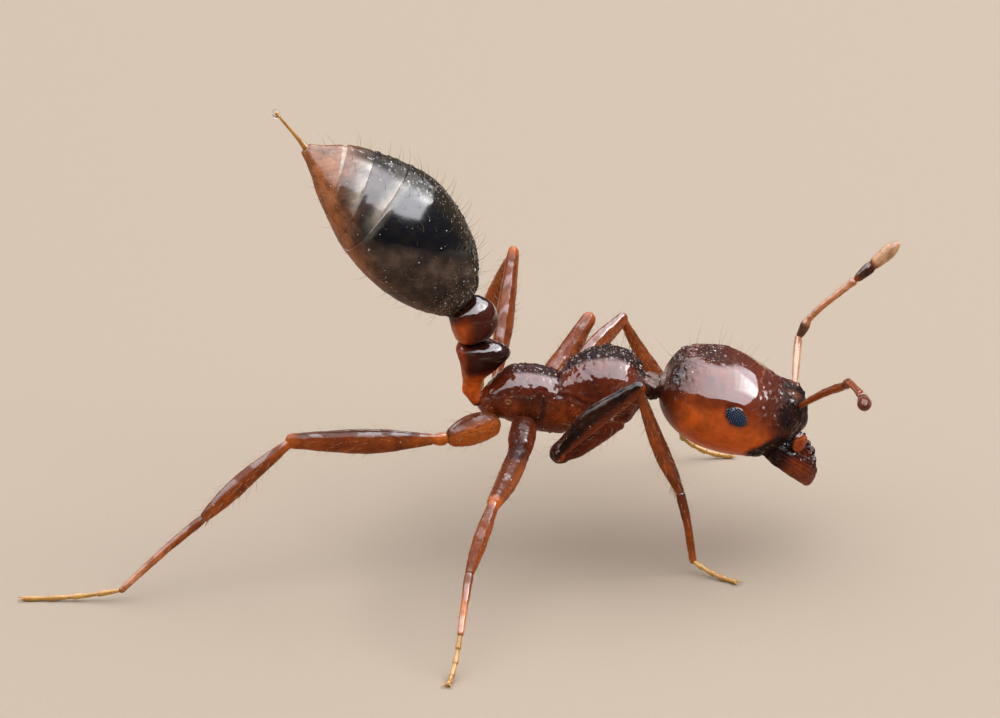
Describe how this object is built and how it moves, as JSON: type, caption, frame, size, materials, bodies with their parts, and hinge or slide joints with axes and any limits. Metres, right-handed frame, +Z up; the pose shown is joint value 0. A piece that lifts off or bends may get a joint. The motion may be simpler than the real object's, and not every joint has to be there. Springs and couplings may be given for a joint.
{
  "type": "fire ant",
  "caption": "Still, life-size model of a red fire ant worker standing with its gaster raised and a drop of venom on its sting.",
  "frame": {"origin": "on the floor that the feet stand on, under the middle of the bounding box", "axes": "+X the way the head points, +Y the ant's left side, +Z up"},
  "size_m": [0.0064, 0.0056, 0.0034],
  "materials": {
    "red_shell": "glossy dark red-brown cuticle",
    "amber_shell": "glossy amber-brown cuticle, slightly translucent",
    "golden_shell": "golden translucent cuticle",
    "black_shell": "polished black-brown cuticle with paler bands",
    "eye_facets": "blue-black facets",
    "venom": "clear drop of liquid"
  },
  "bodies": {
    "root": {"head": "red_shell", "left_eye": "eye_facets", "left_mandible": "red_shell", "left_scape": "amber_shell", "left_funiculus": "amber_shell", "left_club": "amber_shell", "right_eye": "eye_facets", "right_mandible": "red_shell", "right_scape": "amber_shell", "right_funiculus": "amber_shell", "right_club": "amber_shell", "neck": "red_shell", "thorax": "red_shell", "propodeum": "red_shell", "petiole": "red_shell", "postpetiole": "red_shell", "gaster_1": "black_shell", "gaster_2": "black_shell", "gaster_3": "black_shell", "gaster_4": "black_shell", "sting": "golden_shell", "venom_drop": "venom", "left_front_coxa": "red_shell", "left_front_femur": "amber_shell", "left_front_tibia": "amber_shell", "left_front_basitarsus": "golden_shell", "left_front_foot": "golden_shell", "left_mid_coxa": "red_shell", "left_mid_femur": "amber_shell", "left_mid_tibia": "amber_shell", "left_mid_basitarsus": "golden_shell", "left_mid_foot": "golden_shell", "left_hind_coxa": "red_shell", "left_hind_femur": "amber_shell", "left_hind_tibia": "amber_shell", "left_hind_basitarsus": "golden_shell", "left_hind_foot": "golden_shell", "right_front_coxa": "red_shell", "right_front_femur": "amber_shell", "right_front_tibia": "amber_shell", "right_front_basitarsus": "golden_shell", "right_front_foot": "golden_shell", "right_mid_coxa": "red_shell", "right_mid_femur": "amber_shell", "right_mid_tibia": "amber_shell", "right_mid_basitarsus": "golden_shell", "right_mid_foot": "golden_shell", "right_hind_coxa": "red_shell", "right_hind_femur": "amber_shell", "right_hind_tibia": "amber_shell", "right_hind_basitarsus": "golden_shell", "right_hind_foot": "golden_shell"}
  },
  "joints": []
}
